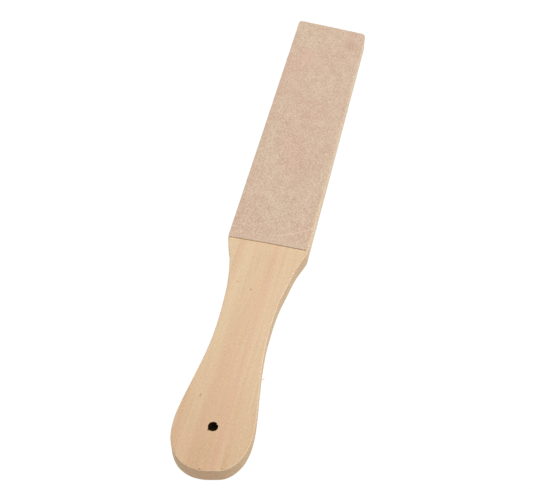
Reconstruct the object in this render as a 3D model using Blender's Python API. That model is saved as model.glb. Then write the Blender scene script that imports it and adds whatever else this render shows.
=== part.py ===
"""Leather strop: a one-piece wooden paddle with a strip of leather glued to each face of its blade.

The paddle lies flat, +Z up, with the rough leather on top. Its handle points along -Y and its
tip along +Y. The outline is drawn with Y = 0 at the square end of the leather, where the handle
begins, and is then moved so that the origin is at the bottom centre of the whole strop.
"""
import math

import bmesh
import bpy
from mathutils import Matrix, Vector
from mathutils.geometry import interpolate_bezier

MM = 0.001

# Blade: the wide straight part that carries the leather.
BLADE_WIDTH = 50 * MM
BLADE_LENGTH = 205.5 * MM            # along the middle line
TIP_SKEW = math.radians(4.5)         # the tip is sawn a little out of square, longer on the left
TIP_RADIUS_LEFT = 2.2 * MM
TIP_RADIUS_RIGHT = 1.8 * MM

# Handle: one piece with the blade, narrow at the waist and wide at the butt.
HANDLE_LENGTH = 153.5 * MM
SHOULDER_Y = -1 * MM                 # where the straight blade edge stops
SHOULDER_ANGLE = math.radians(11)    # how sharply the edge turns inwards there
WAIST_WIDTH = 30.7 * MM
WAIST_Y = -64 * MM
BUTT_WIDTH = 44 * MM
BUTT_Y = -127 * MM                   # widest place, also the centre of the rounded end
BUTT_ROUNDNESS = 2.35                # exponent of the superellipse, 2 is a plain ellipse
HOLE_DIAMETER = 5.2 * MM
HOLE_Y = -127.3 * MM

# Lengths of the curve handles that shape the side of the grip.
SHOULDER_PULL = 11.5 * MM
WAIST_PULL_UP = 46.5 * MM
WAIST_PULL_DOWN = 24.5 * MM
BUTT_PULL = 13.5 * MM

# Layers, from the underside up.
BOARD_THICKNESS = 11 * MM
LEATHER_THICKNESS = 1.3 * MM
GLUE_THICKNESS = 0.2 * MM
GLUE_GAP = 0.05 * MM                 # clearance above and below each glue film
JOINT = GLUE_THICKNESS + 2 * GLUE_GAP

ROUGH_LEATHER_INSET = 0.3 * MM       # from the edge of the board
SMOOTH_LEATHER_INSET = 0.8 * MM
GLUE_INSET = 1.2 * MM

WOOD_EDGE = 0.6 * MM                 # rounding of the sanded edges
LEATHER_EDGE = 0.3 * MM

CURVE_STEPS = 24
BUTT_STEPS = 16
CORNER_STEPS = 4
HOLE_SIDES = 32


def clear_scene():
    for obj in list(bpy.data.objects):
        bpy.data.objects.remove(obj, do_unlink=True)


def make_material(name, colour, roughness):
    material = bpy.data.materials.new(name)
    material.use_nodes = True
    shader = material.node_tree.nodes["Principled BSDF"]
    shader.inputs["Base Color"].default_value = (*colour, 1)
    shader.inputs["Roughness"].default_value = roughness
    shader.inputs["Metallic"].default_value = 0
    material.diffuse_color = (*colour, 1)
    return material


def tip_y(x):
    """Y of the skewed tip at a distance x from the middle line."""
    return BLADE_LENGTH - x * math.tan(TIP_SKEW)


def rounded_corner(before, corner, after, radius):
    """Arc that rounds a corner of an outline that runs anticlockwise."""
    to_before = (before - corner).normalized()
    to_after = (after - corner).normalized()
    half_angle = to_before.angle(to_after) / 2
    centre = corner + (to_before + to_after).normalized() * (radius / math.sin(half_angle))
    first = corner + to_before * (radius / math.tan(half_angle)) - centre
    turn = math.pi - 2 * half_angle
    return [centre + Matrix.Rotation(turn * step / CORNER_STEPS, 2) @ first
            for step in range(CORNER_STEPS + 1)]


def tip_corners(inset):
    """Both rounded corners of the tip, right one first, drawn in by the inset at the sides."""
    half = BLADE_WIDTH / 2 - inset
    right = Vector((half, tip_y(half) - inset))
    left = Vector((-half, tip_y(-half) - inset))
    down = Vector((0, -BLADE_WIDTH))
    return (rounded_corner(right + down, right, left, TIP_RADIUS_RIGHT)
            + rounded_corner(right, left, left + down, TIP_RADIUS_LEFT))


def butt_side():
    """Right half of the rounded butt, from its end on the middle line to its widest place."""
    points = []
    for step in range(BUTT_STEPS):
        angle = math.pi / 2 * (1 - step / BUTT_STEPS)
        x = BUTT_WIDTH / 2 * math.cos(angle) ** (2 / BUTT_ROUNDNESS)
        y = BUTT_Y - (HANDLE_LENGTH + BUTT_Y) * math.sin(angle) ** (2 / BUTT_ROUNDNESS)
        points.append(Vector((x, y)))
    return points


def grip_side():
    """Right side of the grip, from the butt's widest place over the waist to the shoulder."""
    butt = Vector((BUTT_WIDTH / 2, BUTT_Y))
    waist = Vector((WAIST_WIDTH / 2, WAIST_Y))
    shoulder = Vector((BLADE_WIDTH / 2, SHOULDER_Y))
    up = Vector((0, 1))
    inwards = Vector((-math.sin(SHOULDER_ANGLE), -math.cos(SHOULDER_ANGLE)))
    lower = interpolate_bezier(butt, butt + up * BUTT_PULL, waist - up * WAIST_PULL_DOWN,
                               waist, CURVE_STEPS)
    upper = interpolate_bezier(waist, waist + up * WAIST_PULL_UP, shoulder + inwards * SHOULDER_PULL,
                               shoulder, CURVE_STEPS)
    return lower + upper[1:]


def board_outline():
    right = butt_side() + grip_side()
    left = [Vector((-point.x, point.y)) for point in reversed(right[1:])]
    return right + tip_corners(0) + left


def strip_outline(inset, end_inset=0):
    """Outline of a strip on the blade, square at the handle end and rounded at the tip."""
    half = BLADE_WIDTH / 2 - inset
    return [Vector((-half, end_inset)), Vector((half, end_inset))] + tip_corners(inset)


def middle_of_length():
    """Y of the middle of the strop's whole length, which becomes the origin."""
    heights = [point.y for point in board_outline()]
    return (min(heights) + max(heights)) / 2


def make_plate(name, outline, bottom, thickness, edge, material, parent):
    """A flat piece: the outline extruded upwards, its long edges slightly rounded."""
    shape = bmesh.new()
    base = shape.faces.new([shape.verts.new((point.x, point.y, 0)) for point in outline])
    extruded = bmesh.ops.extrude_face_region(shape, geom=[base])["geom"]
    top = [item for item in extruded if isinstance(item, bmesh.types.BMVert)]
    bmesh.ops.translate(shape, verts=top, vec=(0, 0, thickness))
    bmesh.ops.recalc_face_normals(shape, faces=shape.faces)
    mesh = bpy.data.meshes.new(name)
    shape.to_mesh(mesh)
    shape.free()
    mesh.materials.append(material)
    mesh.shade_smooth()
    mesh.set_sharp_from_angle(angle=math.radians(35))

    plate = bpy.data.objects.new(name, mesh)
    bpy.context.collection.objects.link(plate)
    plate.parent = parent
    plate.location = (0, -middle_of_length(), bottom)
    if edge:
        rounding = plate.modifiers.new("sanded_edge", "BEVEL")
        rounding.width = edge
        rounding.segments = 2
        rounding.limit_method = "ANGLE"
        rounding.angle_limit = math.radians(40)
    return plate


def drill_hole(board, parent):
    """The hanging hole, right through the wide end of the handle."""
    shape = bmesh.new()
    bmesh.ops.create_cone(shape, cap_ends=True, segments=HOLE_SIDES, radius1=HOLE_DIAMETER / 2,
                          radius2=HOLE_DIAMETER / 2, depth=BOARD_THICKNESS * 2)
    mesh = bpy.data.meshes.new("hole_drill")
    shape.to_mesh(mesh)
    shape.free()
    drill = bpy.data.objects.new("hole_drill", mesh)
    bpy.context.collection.objects.link(drill)
    drill.parent = parent
    drill.location = board.location + Vector((0, HOLE_Y, BOARD_THICKNESS / 2))
    drill.hide_render = True
    drill.display_type = "WIRE"
    cut = board.modifiers.new("hanging_hole", "BOOLEAN")
    cut.operation = "DIFFERENCE"
    cut.solver = "EXACT"
    cut.object = drill
    # The hole is cut first, so that its rims are rounded with the other edges.
    board.modifiers.move(board.modifiers.find("hanging_hole"), 0)


def build():
    clear_scene()
    wood = make_material("beech_wood", (0.73, 0.53, 0.35), 0.55)
    suede = make_material("rough_suede", (0.66, 0.49, 0.37), 0.95)
    smooth = make_material("smooth_leather", (0.62, 0.43, 0.28), 0.50)
    glue = make_material("contact_glue", (0.42, 0.27, 0.13), 0.40)

    strop = bpy.data.objects.new("strop", None)
    bpy.context.collection.objects.link(strop)

    board_bottom = LEATHER_THICKNESS + JOINT
    board_top = board_bottom + BOARD_THICKNESS
    film = strip_outline(GLUE_INSET, GLUE_INSET)

    make_plate("smooth_leather", strip_outline(SMOOTH_LEATHER_INSET), 0, LEATHER_THICKNESS,
               LEATHER_EDGE, smooth, strop)
    make_plate("smooth_leather_glue", film, LEATHER_THICKNESS + GLUE_GAP, GLUE_THICKNESS,
               0, glue, strop)
    board = make_plate("paddle_board", board_outline(), board_bottom, BOARD_THICKNESS,
                       WOOD_EDGE, wood, strop)
    drill_hole(board, strop)
    make_plate("rough_leather_glue", film, board_top + GLUE_GAP, GLUE_THICKNESS, 0, glue, strop)
    make_plate("rough_leather", strip_outline(ROUGH_LEATHER_INSET), board_top + JOINT,
               LEATHER_THICKNESS, LEATHER_EDGE, suede, strop)


build()
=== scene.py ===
"""Looks of the leather strop: a sanded wooden paddle with rough leather above and smooth below.

Lengths are in millimetres until a mesh is made. X runs across the blade, Y along the strop with
Y = 0 at the square end of the leather, and Z up from the surface the strop lies on.
"""

import math

import bmesh
import bpy
import numpy as np
from mathutils import Matrix, Vector, noise
from mathutils.geometry import interpolate_bezier


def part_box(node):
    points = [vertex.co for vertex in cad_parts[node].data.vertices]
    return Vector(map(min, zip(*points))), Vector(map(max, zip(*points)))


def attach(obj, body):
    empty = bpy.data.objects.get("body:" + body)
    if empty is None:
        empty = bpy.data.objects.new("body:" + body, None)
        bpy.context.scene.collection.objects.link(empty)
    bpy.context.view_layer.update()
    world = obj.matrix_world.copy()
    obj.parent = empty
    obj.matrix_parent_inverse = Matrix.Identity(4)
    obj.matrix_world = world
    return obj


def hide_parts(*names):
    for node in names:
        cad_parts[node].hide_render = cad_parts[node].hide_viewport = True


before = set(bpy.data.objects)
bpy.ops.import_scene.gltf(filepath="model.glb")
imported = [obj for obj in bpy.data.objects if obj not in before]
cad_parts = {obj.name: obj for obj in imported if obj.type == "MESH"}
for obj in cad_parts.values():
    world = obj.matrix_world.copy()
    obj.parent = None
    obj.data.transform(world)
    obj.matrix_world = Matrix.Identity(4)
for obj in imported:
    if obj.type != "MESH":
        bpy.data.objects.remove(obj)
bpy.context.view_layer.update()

MM = 0.001
LEATHER_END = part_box("rough_leather")[0].y / MM      # Y of the leather's square end in the frame

BOARD_LOW, BOARD_HIGH = [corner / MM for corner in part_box("paddle_board")]
ROUGH_LOW, ROUGH_HIGH = [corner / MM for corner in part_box("rough_leather")]
SMOOTH_LOW, SMOOTH_HIGH = [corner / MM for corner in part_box("smooth_leather")]

# Outline of the paddle. It is the CAD model's, but for the wear and the wandering named here.
HALF_BLADE = BOARD_HIGH.x
BLADE_LENGTH = 205.5
TIP_SKEW = math.radians(4.5)
TIP_WEAR = 0.6                 # how much more the right corner of the tip is sanded away
TIP_WEAR_START = -5            # X from which the tip is worn
TIP_RADIUS_LEFT = 2.2
TIP_RADIUS_RIGHT = 2.6         # worn rounder than it was sawn
TIP_CORNER = 5                 # how much of the tip's edge each rounded corner may take up
SHOULDER_Y = -1
SHOULDER_ANGLE = math.radians(11)
HALF_WAIST = 15.35
WAIST_Y = -64
HALF_BUTT = 22
BUTT_Y = -127
BUTT_SPARE = 0.3               # wood that the sanded flat takes off
BUTT_END = BOARD_LOW.y - LEATHER_END - BUTT_SPARE
BUTT_ROUNDNESS = 2.35
SHOULDER_PULL = 11.5
WAIST_PULL_UP = 46.5
WAIST_PULL_DOWN = 24.5
BUTT_PULL = 13.5
HOLE_X = -0.17                 # drilled slightly off the middle line
HOLE_Y = -127.5
HOLE_RADIUS = 2.6

# How the saw wandered to the right on each side of the neck: how far, Y of the middle, reach.
LEFT_WANDER = (0.4, -9, 8)
RIGHT_WANDER = (0.9, -27, 12)

# A small flat that was sanded across the end of the butt.
FLAT_POINT = Vector((-0.9, -154.3))
FLAT_ANGLE = math.radians(12.9)
FLAT_SOFTNESS = 0.6

# The board's long edges and its slightly uneven, sanded sides.
BLADE_ARRIS = 0.3
HANDLE_ARRIS_EXTRA = 0.25      # the handle was sanded rounder by hand
SANDED_OFF = 0.03              # taken off the sides all over
SANDING_WAVES = 0.05
FACE_BORDER = 0.6              # width of the rim of the flat faces, inside the arris

# The hole's rims, which the drill broke. Its top rim has a tear and a splinter that points inwards.
TOP_RIM = 0.9
BOTTOM_RIM = 0.8
RIM_FLARE = 0.22
TEAR_ANGLE, TEAR_REACH, TEAR_DEPTH = math.radians(232), math.radians(9), 1.1
HOLE_SPLINTER_ANGLE, HOLE_SPLINTER_REACH, HOLE_SPLINTER = math.radians(44), math.radians(8), 0.5

# Chips in the top face: X, Y, height of the cutting lump's middle over the face, its size, its
# stretch along the strop, and its turn.
CHIPS = ((-0.7, -153.5, 0.15, 0.75, 1.3, 0.4), (10.7, -150.6, 0.15, 0.5, 1.2, 0.2),
         (-2.1, -35.6, 0.12, 0.30, 1.4, 0), (-11.1, -31.7, 0.12, 0.22, 1.2, 0))

# A sliver of wood that stands out of the right wall.
SLIVER_ROOT = Vector((16.4, -88.6, BOARD_LOW.z + 1.0))
SLIVER_TIP = Vector((18.5, -86.2, BOARD_LOW.z + 1.5))
SLIVER_RADIUS = 0.36
SLIVER_BEND = 0.35

# The cut edges of both leathers, which are pressed down towards the wood.
EDGE_PRESS = 0.25
EDGE_BULGE = 0.08
EDGE_ROUGHNESS = 0.05
LIP_WIDTH = 0.7                # of the underside that rises from the pressed edge to the glue
ROLL_WIDTH = 0.35              # of the soft roll along the long edges
TRIM_WANDER = 0.10             # how far the cuts wander
END_BEVEL = 0.8                # the square ends were cut with a slanted knife,
END_TRIM = 0.12                # a little short,
END_HOLLOW = 0.22              # and slightly hollow
END_HOLLOW_X = 4
END_HOLLOW_REACH = 14
ROUGH_OVERHANG = 0.15          # of the rough leather past the CAD model's, on each side
RIGHT_TRIM = 0.9               # how much the rough leather is trimmed at its near right corner
RIGHT_TRIM_REACH = 60
NAP_LUMPS = ((0.16, 1), (0.55, 0.6), (1.3, 0.5))     # (lumps per millimetre, weight)

GLUE_INSET = 1.5
GLUE_WANDER = 0.3
GLUE_BULGE = 0.08

# The view: from the handle's end and a little from the right.
VIEW_TARGET = Vector((-0.77, LEATHER_END - 0.77, BOARD_HIGH.z))
VIEW_AZIMUTH = math.radians(13.38)
VIEW_ELEVATION = math.radians(51.85)
VIEW_ROLL = math.radians(-0.12)
VIEW_DISTANCE = 617
SENSOR_WIDTH = 36
LENS = 68.45

# The studio, in metres and watts. The key light stands to the right and beyond the tip.
FLOOR_HALF_SIZE = 30
FLOOR_DROP = 0.0002            # below the strop, so that the two faces don't meet
FLOOR_GREY = 0.05
FLOOR_GLOW = 0.99
WORLD_STRENGTH = 0.2
KEY_DIRECTION = Vector((0.28, 0.20, 1.0))
KEY_DISTANCE = 2.8
KEY_SIZE = 2.6
KEY_POWER = 89


# ---------------------------------------------------------------- outlines

def bell(distance, reach):
    """1 where the distance is nothing, falling softly to 0 beyond the reach."""
    return math.exp(-(distance / reach) ** 2)


def tip_y(x):
    """The sawn tip: a little out of square, with its right-hand third sanded down."""
    wear = max(0, (x - TIP_WEAR_START) / (HALF_BLADE - TIP_WEAR_START)) ** 1.5
    return BLADE_LENGTH - x * math.tan(TIP_SKEW) - TIP_WEAR * wear


def rounded_corner(before, corner, after, radius, steps):
    """Arc that rounds a corner of an outline that runs anticlockwise."""
    to_before = (before - corner).normalized()
    to_after = (after - corner).normalized()
    half_angle = to_before.angle(to_after) / 2
    centre = corner + (to_before + to_after).normalized() * (radius / math.sin(half_angle))
    first = corner + to_before * (radius / math.tan(half_angle)) - centre
    turn = math.pi - 2 * half_angle
    return [centre + Matrix.Rotation(turn * step / steps, 2) @ first for step in range(steps + 1)]


def tip_outline():
    """The tip from its right side to its left, with both corners rounded."""
    right = Vector((HALF_BLADE, tip_y(HALF_BLADE)))
    left = Vector((-HALF_BLADE, tip_y(-HALF_BLADE)))
    down = Vector((0, -40))
    across = [Vector((x, tip_y(x)))
              for x in np.linspace(HALF_BLADE - TIP_CORNER, -HALF_BLADE + TIP_CORNER, 24)]
    return (rounded_corner(right + down, right, across[0], TIP_RADIUS_RIGHT, 10) + across
            + rounded_corner(across[-1], left, left + down, TIP_RADIUS_LEFT, 8))


def butt_side():
    """Right half of the rounded butt, from its end on the middle line to its widest place."""
    steps = 56
    points = []
    for step in range(steps):
        angle = math.pi / 2 * (1 - step / steps)
        x = HALF_BUTT * math.cos(angle) ** (2 / BUTT_ROUNDNESS)
        y = BUTT_Y + (BUTT_END - BUTT_Y) * math.sin(angle) ** (2 / BUTT_ROUNDNESS)
        points.append(Vector((x, y)))
    return points


def grip_side():
    """Right side of the grip, from the butt's widest place over the waist to the shoulder."""
    steps = 64
    butt = Vector((HALF_BUTT, BUTT_Y))
    waist = Vector((HALF_WAIST, WAIST_Y))
    shoulder = Vector((HALF_BLADE, SHOULDER_Y))
    up = Vector((0, 1))
    inwards = Vector((-math.sin(SHOULDER_ANGLE), -math.cos(SHOULDER_ANGLE)))
    lower = interpolate_bezier(butt, butt + up * BUTT_PULL, waist - up * WAIST_PULL_DOWN,
                               waist, steps)
    upper = interpolate_bezier(waist, waist + up * WAIST_PULL_UP,
                               shoulder + inwards * SHOULDER_PULL, shoulder, steps)
    return lower + upper[1:]


def sanded_flat(point):
    """Moves a point of the butt back onto the flat, softly, if it stands past it."""
    if point.y > BUTT_Y:
        return point
    outward = Vector((math.sin(FLAT_ANGLE), -math.cos(FLAT_ANGLE)))
    past = (point - FLAT_POINT).dot(outward)
    return point - outward * (past + math.hypot(past, FLAT_SOFTNESS)) / 2


def hand_sawn(point):
    """The saw left the neck a little lean under the left shoulder and full on the right."""
    shift, middle, reach = LEFT_WANDER if point.x < 0 else RIGHT_WANDER
    return Vector((point.x + shift * bell(point.y - middle, reach), point.y))


def board_outline():
    """The whole paddle, anticlockwise from the end of the butt."""
    handle = butt_side() + grip_side()
    blade = [Vector((HALF_BLADE, y)) for y in np.linspace(SHOULDER_Y, BLADE_LENGTH - 8, 70)[1:]]
    left = [Vector((-point.x, point.y)) for point in reversed(handle[1:] + blade)]
    return [sanded_flat(hand_sawn(point)) for point in handle + blade + tip_outline() + left]


def outward_normals(outline):
    """Unit normals of a closed anticlockwise outline, at its points."""
    count = len(outline)
    normals = []
    for index, point in enumerate(outline):
        along = (outline[(index + 1) % count] - point).normalized()
        along += (point - outline[index - 1]).normalized()
        normals.append(Vector((along.y, -along.x)).normalized())
    return normals


# ---------------------------------------------------------------- meshes

def add_object(name, data):
    item = bpy.data.objects.new(name, data)
    bpy.context.collection.objects.link(item)
    return item


def finished_mesh(name, shape):
    """Turns a closed bmesh in millimetres into a mesh in its place in the frame."""
    bmesh.ops.recalc_face_normals(shape, faces=shape.faces)
    bmesh.ops.transform(shape, verts=shape.verts,
                        matrix=Matrix.Scale(MM, 4) @ Matrix.Translation((0, LEATHER_END, 0)))
    mesh = bpy.data.meshes.new(name)
    shape.to_mesh(mesh)
    shape.free()
    return mesh


def make_piece(name, shape, material, slot, *nodes):
    """Turns a bmesh into a piece that rides on the strop and replaces CAD nodes."""
    mesh = finished_mesh(name, shape)
    mesh.materials.append(material)
    piece = add_object(name, mesh)
    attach(piece, "root")
    if nodes:
        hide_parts(*nodes)
    return piece


def bridge_rings(shape, rings):
    """Joins closed rings of vertices, each to the next, with quads."""
    count = len(rings[0])
    for lower, upper in zip(rings, rings[1:]):
        for index in range(count):
            after = (index + 1) % count
            shape.faces.new((lower[index], lower[after], upper[after], upper[index]))


def close_rings(shape, rings):
    """Joins the rings and closes both ends."""
    bridge_rings(shape, rings)
    shape.faces.new(rings[0])
    shape.faces.new(rings[-1])


def smooth_with_sharp_edges(piece, degrees):
    piece.data.shade_smooth()
    piece.data.set_sharp_from_angle(angle=math.radians(degrees))


def apply_modifiers(piece):
    """Makes the modified shape the piece's own mesh."""
    depsgraph = bpy.context.evaluated_depsgraph_get()
    finished = bpy.data.meshes.new_from_object(piece.evaluated_get(depsgraph))
    piece.modifiers.clear()
    piece.data = finished


def cut_away(piece, shape):
    """Cuts a closed bmesh out of a piece."""
    cutter = add_object("cutter", finished_mesh("cutter", shape))
    cut = piece.modifiers.new("cut", "BOOLEAN")
    cut.object = cutter
    cut.solver = "EXACT"
    apply_modifiers(piece)
    bpy.data.objects.remove(cutter, do_unlink=True)


def arris_radius(point):
    """How much the long edges are rounded: more on the handle, where it was sanded by hand."""
    on_handle = min(1, max(0, (2 - point.y) / 14))
    uneven = 1 + 0.35 * noise.noise(Vector((point.x, point.y, 0)) * 0.06)
    return (BLADE_ARRIS + HANDLE_ARRIS_EXTRA * on_handle) * uneven


def board_shape():
    """The paddle as rings that climb its wall, with rounded edges and slightly uneven sides."""
    outline = board_outline()
    normals = outward_normals(outline)
    radii = [arris_radius(point) for point in outline]
    low, high = BOARD_LOW.z, BOARD_HIGH.z
    arris_steps = 5
    levels = []                                      # (share of the arris drawn in, z from edge)
    for step in range(arris_steps + 1):
        angle = math.pi / 2 * (1 - step / arris_steps)
        levels.append((1 - math.cos(angle), 1 - math.sin(angle)))
    shape = bmesh.new()
    rings = []

    def add_ring(inset, height):
        ring = []
        for point, normal, radius in zip(outline, normals, radii):
            z = height(radius)
            waves = SANDING_WAVES * noise.noise(Vector((point.x, point.y, z * 1.5)) * 0.12)
            place = point + normal * (waves - SANDED_OFF - inset(radius))
            ring.append(shape.verts.new((place.x, place.y, z)))
        rings.append(ring)

    add_ring(lambda radius: radius + FACE_BORDER, lambda radius: low)
    for drawn, rise in levels:
        add_ring(lambda radius: radius * drawn, lambda radius: low + radius * rise)
    for share in (0.25, 0.5, 0.75):
        add_ring(lambda radius: 0, lambda radius: low + (high - low) * share)
    for drawn, rise in reversed(levels):
        add_ring(lambda radius: radius * drawn, lambda radius: high - radius * rise)
    add_ring(lambda radius: radius + FACE_BORDER, lambda radius: high)
    close_rings(shape, rings)
    return shape


def drill_shape():
    """The drill's cut: a round hole with broken rims, a tear and a splinter at its upper rim."""
    sides = 72
    low, high = BOARD_LOW.z, BOARD_HIGH.z
    heights = [low + rise for rise in (-2, 0, 0.35, BOTTOM_RIM)]
    heights += [high - depth for depth in (1.6, TOP_RIM, 0.5, 0.22, 0, -2)]
    shape = bmesh.new()
    rings = []
    for z in heights:
        near_top = max(0, min(1, (z - high + TOP_RIM) / TOP_RIM))
        near_rim = max(near_top, min(1, (low + BOTTOM_RIM - z) / BOTTOM_RIM))
        ring = []
        for side in range(sides):
            angle = 2 * math.pi * side / sides
            ragged = 0.10 * noise.noise(Vector((math.cos(angle), math.sin(angle), z)) * 2.4)
            radius = HOLE_RADIUS + ragged + RIM_FLARE * near_rim ** 2
            tear = bell(angle - TEAR_ANGLE, TEAR_REACH)
            splinter = bell(angle - HOLE_SPLINTER_ANGLE, HOLE_SPLINTER_REACH)
            radius += TEAR_DEPTH * tear * near_top - HOLE_SPLINTER * splinter * near_top
            ring.append(shape.verts.new((HOLE_X + radius * math.cos(angle),
                                         HOLE_Y + radius * math.sin(angle), z)))
        rings.append(ring)
    close_rings(shape, rings)
    return shape


def chip_shape(x, y, z, size, stretch, turn):
    """A small broken-out chip or dent, as an uneven lump to cut away."""
    shape = bmesh.new()
    bmesh.ops.create_icosphere(shape, subdivisions=2, radius=1)
    for vertex in shape.verts:
        vertex.co *= 1 + 0.3 * noise.noise(vertex.co * 1.7 + Vector((x, y, z)))
    place = (Matrix.Translation((x, y, z)) @ Matrix.Rotation(turn, 4, "Z")
             @ Matrix.Diagonal((size, size * stretch, size, 1)))
    bmesh.ops.transform(shape, verts=shape.verts, matrix=place)
    return shape


def sliver_shape():
    """A closed curved sliver of wood that tapers from its root to its tip."""
    steps, sides = 6, 5
    shape = bmesh.new()
    rings = []
    for step in range(steps + 1):
        share = step / steps
        centre = (SLIVER_ROOT + (SLIVER_TIP - SLIVER_ROOT) * share
                  + Vector((SLIVER_BEND, 0, 0)) * math.sin(share * math.pi))
        radius = SLIVER_RADIUS * (1 - 0.85 * share ** 1.5)
        rings.append([shape.verts.new(centre + Vector((radius * math.cos(turn), 0,
                                                       radius * math.sin(turn))))
                      for turn in (2 * math.pi * side / sides for side in range(sides))])
    close_rings(shape, rings)
    return shape


def make_board(material):
    board = make_piece("wooden_paddle", board_shape(), material, "wood", "paddle_board")
    cut_away(board, drill_shape())
    for x, y, above, size, stretch, turn in CHIPS:
        cut_away(board, chip_shape(x, y, BOARD_HIGH.z + above, size, stretch, turn))
    smooth_with_sharp_edges(board, 32)


def make_sliver(material):
    smooth_with_sharp_edges(make_piece("wood_splinter", sliver_shape(), material, "wood"), 40)


def edge_spacing(low, high, step):
    """Places from low to high, close together near both ends and about a step apart between."""
    near = [0, 0.12, 0.3, 0.55, 0.9, 1.4, 2.1, 3.0]
    inner = np.linspace(low + near[-1], high - near[-1], round((high - low - 2 * near[-1]) / step))
    return [low + d for d in near[:-1]] + list(inner) + [high - d for d in reversed(near[:-1])]


def corner_rounded(x, y, half, end, radius):
    """Moves a grid point near the tip so that the grid's square corner becomes a round one."""
    a = (abs(x) - (half - radius)) / radius
    b = (y - (end - radius)) / radius
    if a <= 0 or b <= 0:
        return x, y
    length = math.hypot(a, b)
    reach = max(a, b) / length
    return (math.copysign(half - radius + a * reach * radius, x),
            end - radius + b * reach * radius)


def leather_shape(half, bottom, top, right_trim, nap, end_drop, side_drop, step, seed):
    """A strip of leather: a fine grid for its face, which rolls over to its cut edges.

    The cut edges are pressed down against the wood, so that only a hairline shows under them.
    """
    xs = edge_spacing(-half, half, step)
    ys = edge_spacing(0, BLADE_LENGTH, step)
    away = Vector((seed * 37.0, seed * 11.0, seed * 5.0))
    shape = bmesh.new()
    grid = []
    for y in ys:
        row = []
        for x in xs:
            radius = TIP_RADIUS_LEFT if x < 0 else TIP_RADIUS_RIGHT
            px, py = corner_rounded(x, y, half, BLADE_LENGTH, radius)
            side = min(half - abs(x), BLADE_LENGTH - y)
            place = Vector((px, py, 0))
            # The trimmed edges wander a little, and the strip is trimmed flush with the skewed tip.
            share = abs(px) / half
            trim = right_trim(py) if px > 0 else 0
            wander = TRIM_WANDER * noise.noise(place * 0.09 + away)
            px -= math.copysign(share * (trim + wander), px)
            py += (py / BLADE_LENGTH) * (tip_y(px) - BLADE_LENGTH)
            short = END_TRIM + END_HOLLOW * bell(px - END_HOLLOW_X, END_HOLLOW_REACH)
            short += TRIM_WANDER * noise.noise(Vector((px * 0.12, 0, seed)))
            py += short * (1 - py / BLADE_LENGTH)
            lift = nap * sum(weight * noise.noise(place * lumps + away)
                             for lumps, weight in NAP_LUMPS)
            roll = max(side_drop * math.exp(-(side / ROLL_WIDTH) ** 1.5),
                       end_drop * max(0, 1 - y / END_BEVEL))
            row.append(shape.verts.new((px, py, top - nap + lift - roll)))
        grid.append(row)
    for below, above in zip(grid, grid[1:]):
        for index in range(len(xs) - 1):
            shape.faces.new((below[index], below[index + 1], above[index + 1], above[index]))

    border = (grid[0] + [row[-1] for row in grid[1:-1]] + grid[-1][::-1]
              + [row[0] for row in reversed(grid[1:-1])])
    rings = [border]
    start = [vertex.co.copy() for vertex in border]
    outwards = outward_normals([place.xy for place in start])
    for share in (0.25, 0.5, 0.75, 1.0):
        ring = []
        for place, outward in zip(start, outwards):
            bulge = (EDGE_BULGE * math.sin(math.pi * share)
                     + EDGE_ROUGHNESS * noise.noise(place * 0.9 + away * share))
            z = place.z + (bottom - EDGE_PRESS - place.z) * share
            ring.append(shape.verts.new((place.x + outward.x * bulge,
                                         place.y + outward.y * bulge, z)))
        rings.append(ring)
    rings.append([shape.verts.new((place.x - outward.x * LIP_WIDTH,
                                   place.y - outward.y * LIP_WIDTH, bottom))
                  for place, outward in zip(start, outwards)])
    bridge_rings(shape, rings)
    shape.faces.new(rings[-1])
    return shape


def make_rough_leather(material):
    """Flesh side out, trimmed narrower towards the right of its square end."""
    shape = leather_shape(ROUGH_HIGH.x + ROUGH_OVERHANG, ROUGH_LOW.z, ROUGH_HIGH.z,
                          lambda y: RIGHT_TRIM * math.exp(-y / RIGHT_TRIM_REACH),
                          nap=0.09, end_drop=0.75, side_drop=0.14, step=1.0, seed=1)
    piece = make_piece("rough_leather_strip", shape, material, "rough_leather", "rough_leather")
    smooth_with_sharp_edges(piece, 60)


def make_smooth_leather(material):
    """Grain side out, on the underside, so it is built face up and turned over."""
    thickness = SMOOTH_HIGH.z - SMOOTH_LOW.z
    shape = leather_shape(SMOOTH_HIGH.x, 0, thickness, lambda y: 0.1,
                          nap=0.025, end_drop=0.3, side_drop=0.2, step=1.6, seed=2)
    for vertex in shape.verts:
        vertex.co.z = SMOOTH_HIGH.z - vertex.co.z
    piece = make_piece("smooth_leather_strip", shape, material, "smooth_leather", "smooth_leather")
    smooth_with_sharp_edges(piece, 60)


def make_glue(name, node, low, high, half, seed, material):
    """A film of dried glue that fills the joint, with an uneven edge."""
    corners = [Vector((-half, GLUE_INSET)), Vector((half, GLUE_INSET)),
               Vector((half, tip_y(half) - GLUE_INSET)),
               Vector((-half, tip_y(-half) - GLUE_INSET))]
    outline = []
    for start, end in zip(corners, corners[1:] + corners[:1]):
        steps = max(2, round((end - start).length))
        outline += [start + (end - start) * step / steps for step in range(steps)]
    shape = bmesh.new()
    rings = []
    middle = (low + high) / 2
    for z, bulge in ((low, 0), (middle, GLUE_BULGE), (high, 0)):
        ring = []
        for point, normal in zip(outline, outward_normals(outline)):
            uneven = noise.noise(Vector((point.x * 0.25, point.y * 0.25, seed)))
            inset = GLUE_WANDER * uneven - bulge
            ring.append(shape.verts.new((point.x - normal.x * inset,
                                         point.y - normal.y * inset, z)))
        rings.append(ring)
    close_rings(shape, rings)
    smooth_with_sharp_edges(make_piece(name, shape, material, "glue", node), 50)


# ---------------------------------------------------------------- materials

def colour(red, green, blue):
    """Linear colour from display values of 0 to 255."""
    linear = []
    for value in (red, green, blue):
        share = value / 255
        linear.append(share / 12.92 if share <= 0.04045 else ((share + 0.055) / 1.055) ** 2.4)
    return (*linear, 1)


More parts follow.
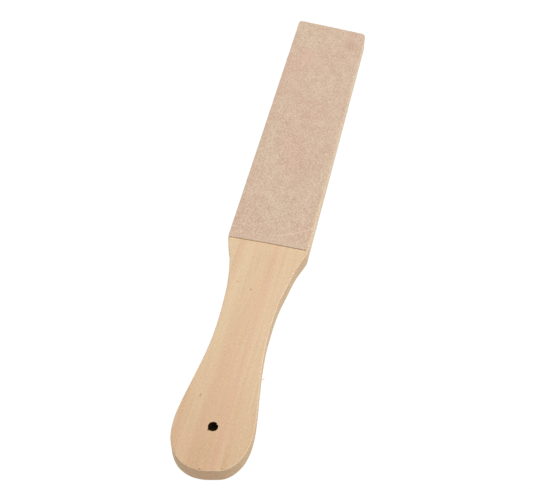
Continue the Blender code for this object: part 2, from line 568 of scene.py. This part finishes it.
class Graph:
    """A new material, with short names for the shader nodes it is built from."""

    def __init__(self, name, face):
        self.face = face                             # Z of the face that marks lie on
        self.material = bpy.data.materials.new(name)
        self.material.use_nodes = True
        self.tree = self.material.node_tree
        self.shader = self.tree.nodes["Principled BSDF"]
        coordinates = self.tree.nodes.new("ShaderNodeTexCoord")
        self.place = self.vector_math("MULTIPLY", coordinates.outputs["Object"],
                                      (1 / MM, 1 / MM, 1 / MM))
        self.place = self.vector_math("SUBTRACT", self.place, (0, LEATHER_END, 0))
        self.normal = self.tree.nodes.new("ShaderNodeNewGeometry").outputs["True Normal"]

    def link(self, value, socket):
        if isinstance(value, bpy.types.NodeSocket):
            self.tree.links.new(value, socket)
        else:
            socket.default_value = value

    def math(self, operation, first, second=0.0):
        node = self.tree.nodes.new("ShaderNodeMath")
        node.operation = operation
        for value, socket in zip((first, second), node.inputs):
            self.link(value, socket)
        return node.outputs[0]

    def vector_math(self, operation, first, second):
        node = self.tree.nodes.new("ShaderNodeVectorMath")
        node.operation = operation
        self.link(first, node.inputs[0])
        self.link(second, node.inputs[1])
        return node.outputs["Value" if operation == "LENGTH" else "Vector"]

    def split(self, vector):
        node = self.tree.nodes.new("ShaderNodeSeparateXYZ")
        self.link(vector, node.inputs[0])
        return node.outputs["X"], node.outputs["Y"], node.outputs["Z"]

    def join(self, x, y, z):
        node = self.tree.nodes.new("ShaderNodeCombineXYZ")
        for value, socket in zip((x, y, z), node.inputs):
            self.link(value, socket)
        return node.outputs[0]

    def length(self, x, y, z):
        return self.vector_math("LENGTH", self.join(x, y, z), (0, 0, 0))

    def noise(self, sizes, detail=2.0, roughness=0.5, vector=None):
        """Noise from 0 to 1, whose lumps measure about these sizes in millimetres."""
        node = self.tree.nodes.new("ShaderNodeTexNoise")
        scaled = self.vector_math("DIVIDE", self.place if vector is None else vector, sizes)
        self.link(scaled, node.inputs["Vector"])
        node.inputs["Scale"].default_value = 1
        node.inputs["Detail"].default_value = detail
        node.inputs["Roughness"].default_value = roughness
        return node.outputs[0]

    def cells(self, size, feature="F1"):
        """Cells that measure about this size in millimetres."""
        node = self.tree.nodes.new("ShaderNodeTexVoronoi")
        node.feature = feature
        scaled = self.vector_math("DIVIDE", self.place, (size, size, size))
        self.link(scaled, node.inputs["Vector"])
        node.inputs["Scale"].default_value = 1
        return node

    def ramp(self, value, low, high, to_low=0.0, to_high=1.0):
        """Smooth step of a value from low to high."""
        node = self.tree.nodes.new("ShaderNodeMapRange")
        node.interpolation_type = "SMOOTHSTEP"
        for number, name in ((low, "From Min"), (high, "From Max"), (to_low, "To Min"),
                             (to_high, "To Max")):
            self.link(number, node.inputs[name])
        self.link(value, node.inputs["Value"])
        return node.outputs[0]

    def mix(self, factor, first, second, blend="MIX"):
        node = self.tree.nodes.new("ShaderNodeMix")
        node.data_type = "RGBA"
        node.blend_type = blend
        self.link(factor, node.inputs[0])
        self.link(first, node.inputs[6])
        self.link(second, node.inputs[7])
        return node.outputs[2]

    def spot(self, x, y, radius, stretch=1.0):
        """1 at a place on the face, falling to 0 at the radius, stretched along the strop."""
        px, py, pz = self.split(self.place)
        across = self.math("SUBTRACT", px, x)
        along = self.math("DIVIDE", self.math("SUBTRACT", py, y), stretch)
        distance = self.length(across, along, self.math("SUBTRACT", pz, self.face))
        return self.ramp(distance, radius, radius * 0.25)

    def marked(self, tone, marks):
        """The tone with soft spots: (X, Y, radius, stretch, strength, colour)."""
        for x, y, radius, stretch, strength, mark in marks:
            spot = self.math("MULTIPLY", self.spot(x, y, radius, stretch), strength)
            tone = self.mix(spot, tone, colour(*mark))
        return tone

    def cut_edge(self, edge, tone, first, second):
        """The tone with the layers of the hide showing where edge is 1."""
        layers = self.noise((3.0, 3.0, 0.25), 2)
        return self.mix(edge, tone, self.mix(self.ramp(layers, 0.35, 0.65), first, second))

    def fibres(self, cell, width, length, low, high):
        """Thin streaks that lie in a different direction in each cell."""
        turns = self.split(self.cells(cell).outputs["Color"])[0]
        rotate = self.tree.nodes.new("ShaderNodeVectorRotate")
        rotate.rotation_type = "Z_AXIS"
        self.link(self.place, rotate.inputs["Vector"])
        self.link(self.math("MULTIPLY", turns, math.pi), rotate.inputs["Angle"])
        streaks = self.noise((width, length, length), 1.0, 0.5, rotate.outputs[0])
        return self.ramp(streaks, low, high)

    def bump(self, layers):
        """Bumps from (height from 0 to 1, depth in millimetres), added up."""
        normal = None
        for height, depth in layers:
            node = self.tree.nodes.new("ShaderNodeBump")
            node.inputs["Strength"].default_value = 1
            node.inputs["Distance"].default_value = depth * MM
            self.link(height, node.inputs["Height"])
            if normal is not None:
                self.link(normal, node.inputs["Normal"])
            normal = node.outputs[0]
        self.link(normal, self.shader.inputs["Normal"])


# The heart of the tree lay far below the board and to its left.
HEART_LEFT = 48
HEART_BELOW = 42
STRIPE_X = 7.2                 # a pinkish stripe in the grain

# Darker spots in the wood, the chips among them: X, Y, radius, stretch, strength, colour.
WOOD_MARKS = (
    (-2.1, -35.6, 0.7, 1.3, 0.6, (140, 104, 72)),
    (-11.1, -31.7, 0.6, 1.2, 0.5, (150, 112, 80)),
    (-11.9, -110.6, 0.55, 3.2, 0.65, (165, 112, 82)),
    (-0.7, -152.9, 0.95, 1.2, 0.6, (192, 130, 84)),
    (10.7, -150.0, 0.7, 1.0, 0.6, (196, 128, 84)),
    (12.5, -14.0, 0.5, 1.5, 0.35, (160, 122, 90)),
    (6.5, -12.5, 0.5, 1.4, 0.3, (160, 122, 90)),
    (-16.5, -20.0, 0.6, 1.6, 0.3, (160, 122, 90)))

# Handling marks on the rough leather: a darker rub and a grey-green smudge near the tip, and two
# faint clouds.
SUEDE_MARKS = (
    (17.0, 188.0, 8.0, 0.8, 0.35, (192, 158, 134)),
    (6.2, 194.8, 5.0, 0.8, 0.35, (196, 182, 150)),
    (-9.0, 170.0, 9.0, 1.3, 0.18, (226, 184, 160)),
    (8.0, 60.0, 12.0, 1.8, 0.15, (196, 164, 142)))

# A short scuff that arcs around the rough leather's near right corner.
ARC_X = 18.5
ARC_Y = 9.5
ARC_RADIUS = 7.0


def wood_material():
    """Pale, close-grained wood, sanded and left bare."""
    g = Graph("sanded_pale_wood", BOARD_HIGH.z)
    x, y, z = g.split(g.place)
    drift = g.math("SUBTRACT", g.noise((45, 190, 45), 2), 0.5)
    wave = g.math("SUBTRACT", g.noise((9, 75, 9), 2), 0.5)
    warped = g.math("ADD", x, g.math("ADD", g.math("MULTIPLY", drift, 9),
                                     g.math("MULTIPLY", wave, 2.2)))
    ring = g.length(g.math("ADD", warped, HEART_LEFT), 0.0, g.math("ADD", z, HEART_BELOW))
    bands = g.noise((3.4, 260, 1), 3, 0.6, g.join(ring, y, 0.0))
    wide = g.noise((11, 420, 1), 2, 0.5, g.join(ring, y, 3.0))
    lines = g.noise((0.42, 34, 0.42), 3, 0.6, g.join(warped, y, z))
    flecks = g.noise((0.55, 4.5, 0.8), 2, 0.5, g.join(warped, y, z))

    tone = g.mix(g.ramp(wide, 0.35, 0.65), colour(223, 199, 161), colour(221, 193, 159))
    tone = g.mix(g.ramp(bands, 0.44, 0.62, 0, 0.85), tone, colour(218, 183, 149))
    tone = g.mix(g.ramp(bands, 0.42, 0.25, 0, 0.7), tone, colour(233, 208, 172))
    stripe = g.math("ABSOLUTE", g.math("SUBTRACT", warped, STRIPE_X))
    tone = g.mix(g.ramp(stripe, 3.2, 0.4, 0, 0.6), tone, colour(222, 182, 156))
    tone = g.mix(g.ramp(lines, 0.48, 0.66, 0, 0.35), tone, colour(203, 167, 131))
    tone = g.mix(g.ramp(flecks, 0.60, 0.76, 0, 0.30), tone, colour(193, 155, 120))
    tone = g.mix(g.ramp(flecks, 0.36, 0.22, 0, 0.30), tone, colour(238, 214, 184))
    cloud = g.noise((16, 34, 16), 3)
    tone = g.mix(g.ramp(cloud, 0.4, 0.6, 0, 0.25), tone, colour(228, 190, 160))
    dust = g.noise((0.9, 1.6, 0.9), 3, 0.7)
    tone = g.mix(g.ramp(dust, 0.50, 0.64, 0, 0.22), tone, colour(200, 168, 132))
    tone = g.mix(g.ramp(dust, 0.48, 0.36, 0, 0.25), tone, colour(241, 219, 188))
    # The wood is darker towards the butt: painted shade where the light falls off along the handle,
    # partly the wood's own tone.
    tone = g.mix(g.ramp(y, -60, -165, 0, 0.46), tone, colour(231, 216, 202), "MULTIPLY")

    # Painted highlights: the top arrises, widest on the handle, are painted pale where they catch
    # the key light, and the blade's sides are painted pale as painted light from the key light.
    _, ny, nz = g.split(g.normal)
    on_wall = g.ramp(g.math("ABSOLUTE", nz), 0.5, 0.2)
    painted_arris_highlight = g.math("MULTIPLY", g.ramp(nz, 0.3, 0.5), g.ramp(nz, 0.995, 0.93))
    tone = g.mix(g.math("MULTIPLY", painted_arris_highlight, 0.4), tone, colour(246, 226, 194))
    painted_blade_side_light = g.math("MULTIPLY", on_wall, g.ramp(y, -4.0, 14.0))
    tone = g.mix(g.math("MULTIPLY", painted_blade_side_light, 0.45), tone, colour(236, 222, 194))

    # The handle's side grain is a deeper tan.
    side_grain = g.math("MULTIPLY", on_wall, g.ramp(y, 4.0, -4.0))
    tone = g.mix(g.math("MULTIPLY", side_grain, 0.35), tone, colour(216, 180, 132))

    # End grain is a little greyer and shows its pores; the greyer tone is also painted shade for
    # the butt's end, which faces away from the key light.
    end = g.ramp(g.math("ABSOLUTE", ny), 0.5, 1.0, 0, 0.18)
    tone = g.mix(end, tone, colour(204, 170, 134))
    pores = g.noise((0.35, 0.35, 0.35), 2)
    tone = g.mix(g.math("MULTIPLY", end, g.ramp(pores, 0.5, 0.7, 0, 0.5)), tone,
                 colour(168, 133, 102))

    tone = g.marked(tone, WOOD_MARKS)

    # Painted shade darkens the inside of the hole, where it also shines less.
    from_hole = g.length(g.math("SUBTRACT", x, HOLE_X), g.math("SUBTRACT", y, HOLE_Y), 0.0)
    inside = g.ramp(from_hole, HOLE_RADIUS + 1.4, HOLE_RADIUS + 1.1)
    wall = g.ramp(g.math("ABSOLUTE", nz), 0.97, 0.6)
    painted_hole_shade = g.math("MULTIPLY", inside, wall)
    tone = g.mix(painted_hole_shade, tone, colour(66, 50, 34))
    g.link(tone, g.shader.inputs["Base Color"])

    g.link(g.ramp(g.noise((2.0, 22, 2.0), 3), 0.3, 0.7, 0.50, 0.66), g.shader.inputs["Roughness"])
    g.link(g.math("MULTIPLY", g.math("SUBTRACT", 1.0, painted_hole_shade), 0.2),
           g.shader.inputs["Specular IOR Level"])
    cross = g.noise((6, 0.30, 6), 2)
    g.bump([(lines, 0.035), (flecks, 0.03), (cross, 0.012)])
    return g.material


def suede_material():
    """Rough leather, flesh side out: matt, mottled and covered in short fibres."""
    g = Graph("rough_suede_leather", ROUGH_HIGH.z)
    x, y, _ = g.split(g.place)
    clouds = g.noise((24, 30, 24), 3, 0.55)
    patches = g.noise((6.5, 8, 6.5), 3, 0.6)
    nap = g.noise((1.1, 1.4, 1.1), 3, 0.68)
    grit = g.noise((0.55, 0.65, 0.55), 2, 0.6)
    # The nap is pressed flat in a narrow wedge beside the square end.
    rise = g.ramp(x, -14, 8, 1.5, 5.2)
    pressed = g.math("MULTIPLY", g.ramp(g.math("SUBTRACT", rise, y), -1.2, 1.0), 0.32)
    rough = g.math("SUBTRACT", 1.0, pressed)

    tone = g.mix(g.ramp(clouds, 0.36, 0.64), colour(212, 182, 161), colour(213, 190, 167))
    tone = g.mix(g.ramp(patches, 0.42, 0.62, 0, 0.45), tone, colour(199, 168, 146))
    tone = g.mix(g.ramp(patches, 0.46, 0.32, 0, 0.45), tone, colour(217, 192, 170))
    tone = g.mix(g.math("MULTIPLY", rough, g.ramp(nap, 0.51, 0.62, 0, 0.72)), tone,
                 colour(193, 160, 136))
    tone = g.mix(g.math("MULTIPLY", rough, g.ramp(nap, 0.48, 0.38, 0, 0.72)), tone,
                 colour(225, 200, 176))
    tone = g.mix(g.math("MULTIPLY", rough, g.ramp(grit, 0.5, 0.66, 0, 0.5)), tone,
                 colour(182, 150, 128))
    long_fibres = g.fibres(7.0, 0.5, 4.0, 0.62, 0.70)
    short_fibres = g.fibres(3.4, 0.5, 1.6, 0.60, 0.70)
    tone = g.mix(g.math("MULTIPLY", rough, g.math("MULTIPLY", long_fibres, 0.32)), tone,
                 colour(240, 220, 200))
    tone = g.mix(g.math("MULTIPLY", rough, g.math("MULTIPLY", short_fibres, 0.35)), tone,
                 colour(236, 214, 192))
    tone = g.mix(g.math("MULTIPLY", pressed, 0.6), tone, colour(211, 186, 161))

    tone = g.marked(tone, SUEDE_MARKS)

    # A long light scuff that curves across the strip near its square end.
    cubed = g.math("POWER", g.math("DIVIDE", x, 24.0), 3.0)
    bend = g.math("ADD", 5.0, g.math("MULTIPLY", cubed, 4.5))
    path = g.math("ADD", bend, g.math("MULTIPLY", x, 0.30))
    wiggle = g.math("MULTIPLY", g.math("SUBTRACT", g.noise((6, 6, 6), 2), 0.5), 1.6)
    off = g.math("ABSOLUTE", g.math("SUBTRACT", g.math("ADD", y, wiggle), path))
    scuff = g.math("MULTIPLY", g.ramp(off, 0.8, 0.15), g.ramp(x, 1.5, 6.0))
    # A shorter one arcs around the right corner.
    from_corner = g.length(g.math("SUBTRACT", x, ARC_X), g.math("SUBTRACT", y, ARC_Y), 0.0)
    arc = g.math("ABSOLUTE", g.math("SUBTRACT", from_corner, ARC_RADIUS))
    arc = g.math("MULTIPLY", g.ramp(arc, 0.6, 0.1), g.ramp(x, 20.0, 22.5))
    arc = g.math("MULTIPLY", arc, g.ramp(y, 8.0, 6.0))
    scuff = g.math("MAXIMUM", scuff, g.math("MULTIPLY", arc, 0.7))
    tone = g.mix(g.math("MULTIPLY", scuff, 0.5), tone, colour(234, 210, 187))

    # The cut edges are paler and show the layers of the hide, most of all across its ends; the
    # paleness is also painted light that lifts the shade on these edges, most on the square end,
    # which faces away from the key light.
    _, ny, nz = g.split(g.normal)
    edge = g.ramp(g.math("ABSOLUTE", nz), 0.9, 0.65)
    edge = g.math("MULTIPLY", edge, g.ramp(g.math("ABSOLUTE", ny), 0.3, 0.6, 0.2, 1.0))
    tone = g.cut_edge(edge, tone, colour(252, 232, 208), colour(246, 221, 196))
    g.link(tone, g.shader.inputs["Base Color"])
    g.link(g.ramp(nap, 0.3, 0.7, 0.86, 1.0), g.shader.inputs["Roughness"])
    g.shader.inputs["Specular IOR Level"].default_value = 0.15
    g.shader.inputs["Sheen Weight"].default_value = 0.25
    g.shader.inputs["Sheen Roughness"].default_value = 0.6
    g.shader.inputs["Sheen Tint"].default_value = colour(240, 222, 206)
    g.bump([(g.math("MULTIPLY", rough, nap), 0.16), (g.math("MULTIPLY", rough, grit), 0.07),
            (g.math("MULTIPLY", rough, long_fibres), 0.05), (scuff, 0.06)])
    return g.material


def smooth_leather_material():
    """Vegetable-tanned leather, grain side out: fine pores, faint creases, slight polish."""
    g = Graph("smooth_grain_leather", SMOOTH_LOW.z)
    clouds = g.noise((26, 40, 26), 3, 0.55)
    creases = g.cells(2.6, "DISTANCE_TO_EDGE").outputs["Distance"]
    pores = g.cells(0.9).outputs["Distance"]
    streaks = g.noise((1.2, 16, 2), 2)
    tone = g.mix(g.ramp(clouds, 0.3, 0.7), colour(217, 178, 140), colour(205, 163, 124))
    tone = g.mix(g.ramp(streaks, 0.55, 0.8, 0, 0.35), tone, colour(188, 146, 108))
    tone = g.mix(g.ramp(creases, 0.10, 0.0, 0, 0.35), tone, colour(178, 135, 98))
    tone = g.mix(g.ramp(pores, 0.22, 0.08, 0, 0.45), tone, colour(165, 122, 86))
    nz = g.split(g.normal)[2]
    edge = g.ramp(g.math("ABSOLUTE", nz), 0.75, 0.35)
    tone = g.cut_edge(edge, tone, colour(208, 172, 138), colour(182, 142, 108))
    g.link(tone, g.shader.inputs["Base Color"])
    g.link(g.ramp(g.noise((5, 9, 5), 3), 0.3, 0.7, 0.40, 0.58), g.shader.inputs["Roughness"])
    g.shader.inputs["Specular IOR Level"].default_value = 0.4
    g.bump([(g.ramp(creases, 0.0, 0.14), 0.05), (g.ramp(pores, 0.05, 0.25), 0.04),
            (g.noise((0.5, 0.5, 0.5), 2), 0.02)])
    return g.material


def glue_material():
    """Dried contact glue: dark amber, lumpy and a little shiny; its dark tone is also painted shade
    for the joint under the leather's edges.
    """
    g = Graph("dried_contact_glue", BOARD_HIGH.z)
    lumps = g.noise((1.2, 1.2, 0.6), 3)
    tone = g.mix(g.ramp(lumps, 0.3, 0.7), colour(120, 84, 52), colour(92, 60, 36))
    g.link(tone, g.shader.inputs["Base Color"])
    g.link(g.ramp(lumps, 0.3, 0.7, 0.35, 0.6), g.shader.inputs["Roughness"])
    g.bump([(lumps, 0.05)])
    return g.material


# ---------------------------------------------------------------- stage

def make_floor():
    """A plain white studio floor that stays bright under the strop."""
    mesh = bpy.data.meshes.new("studio_floor")
    half = FLOOR_HALF_SIZE
    mesh.from_pydata([(-half, -half, 0), (half, -half, 0), (half, half, 0), (-half, half, 0)], [],
                     [(0, 1, 2, 3)])
    floor = add_object("studio_floor", mesh)
    floor.location.z = -FLOOR_DROP
    material = bpy.data.materials.new("studio_white")
    material.use_nodes = True
    shader = material.node_tree.nodes["Principled BSDF"]
    shader.inputs["Base Color"].default_value = (FLOOR_GREY, FLOOR_GREY, FLOOR_GREY, 1)
    shader.inputs["Roughness"].default_value = 1
    shader.inputs["Specular IOR Level"].default_value = 0
    shader.inputs["Emission Color"].default_value = (1, 1, 1, 1)
    shader.inputs["Emission Strength"].default_value = FLOOR_GLOW
    mesh.materials.append(material)


def make_key_light():
    """A soft square light that shines on the strop."""
    data = bpy.data.lights.new("key_light", "AREA")
    data.shape = "SQUARE"
    data.size = KEY_SIZE
    data.energy = KEY_POWER
    light = add_object("key_light", data)
    towards = KEY_DIRECTION.normalized()
    light.location = towards * KEY_DISTANCE
    light.rotation_mode = "QUATERNION"
    light.rotation_quaternion = towards.to_track_quat("Z", "Y")


def make_lights():
    world = bpy.data.worlds.new("studio_world")
    world.use_nodes = True
    background = world.node_tree.nodes["Background"]
    background.inputs["Color"].default_value = (1, 1, 1, 1)
    background.inputs["Strength"].default_value = WORLD_STRENGTH
    bpy.context.scene.world = world
    make_key_light()
    bpy.context.scene.view_settings.view_transform = "Standard"
    bpy.context.scene.view_settings.look = "None"


def make_camera():
    """Looks down on the strop from its handle end, a little from the right."""
    level_share = math.cos(VIEW_ELEVATION)
    back = Vector((math.sin(VIEW_AZIMUTH) * level_share, -math.cos(VIEW_AZIMUTH) * level_share,
                   math.sin(VIEW_ELEVATION)))
    data = bpy.data.cameras.new("camera")
    data.sensor_width = SENSOR_WIDTH
    data.lens = LENS
    data.clip_start = 0.01
    camera = add_object("camera", data)
    camera.location = VIEW_TARGET * MM + back * (VIEW_DISTANCE * MM)
    camera.rotation_mode = "QUATERNION"
    level = (-back).to_track_quat("-Z", "Y")
    camera.rotation_quaternion = level @ Matrix.Rotation(VIEW_ROLL, 3, "Z").to_quaternion()
    bpy.context.scene.camera = camera


make_camera()
make_lights()
make_floor()
wood = wood_material()
glue = glue_material()
make_board(wood)
make_sliver(wood)
make_rough_leather(suede_material())
make_smooth_leather(smooth_leather_material())
make_glue("upper_glue_film", "rough_leather_glue", BOARD_HIGH.z, ROUGH_LOW.z,
          ROUGH_HIGH.x - GLUE_INSET, 1, glue)
make_glue("lower_glue_film", "smooth_leather_glue", SMOOTH_HIGH.z, BOARD_LOW.z,
          SMOOTH_HIGH.x - GLUE_INSET, 2, glue)
